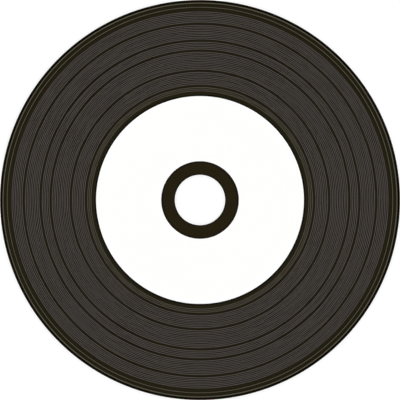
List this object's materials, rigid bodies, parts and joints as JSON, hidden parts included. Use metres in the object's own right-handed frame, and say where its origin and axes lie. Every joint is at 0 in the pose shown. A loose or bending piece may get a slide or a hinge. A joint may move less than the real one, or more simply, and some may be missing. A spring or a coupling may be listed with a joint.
{
  "type": "compact disc",
  "caption": "Compact disc with a black face grooved like a gramophone record, a blank white label round the hub and a bare black hub ring.",
  "frame": {"origin": "on the disc's axis, in the plane of the stacking ring's foot, which is the disc's lowest point", "axes": "+Z along the disc's axis, out of the label side; X and Y are any two directions across the disc"},
  "size_m": [0.12, 0.12, 0.0015],
  "materials": {
    "black_polycarbonate": "glossy moulded polycarbonate, tinted black",
    "white_coat": "matte white printable coat, blank",
    "black_print": "raised black screen print, ridged like a record's grooves, with a soft gloss"
  },
  "bodies": {
    "root": {"polycarbonate_disc": "black_polycarbonate", "white_label": "white_coat", "black_groove_print": "black_print"}
  },
  "joints": []
}
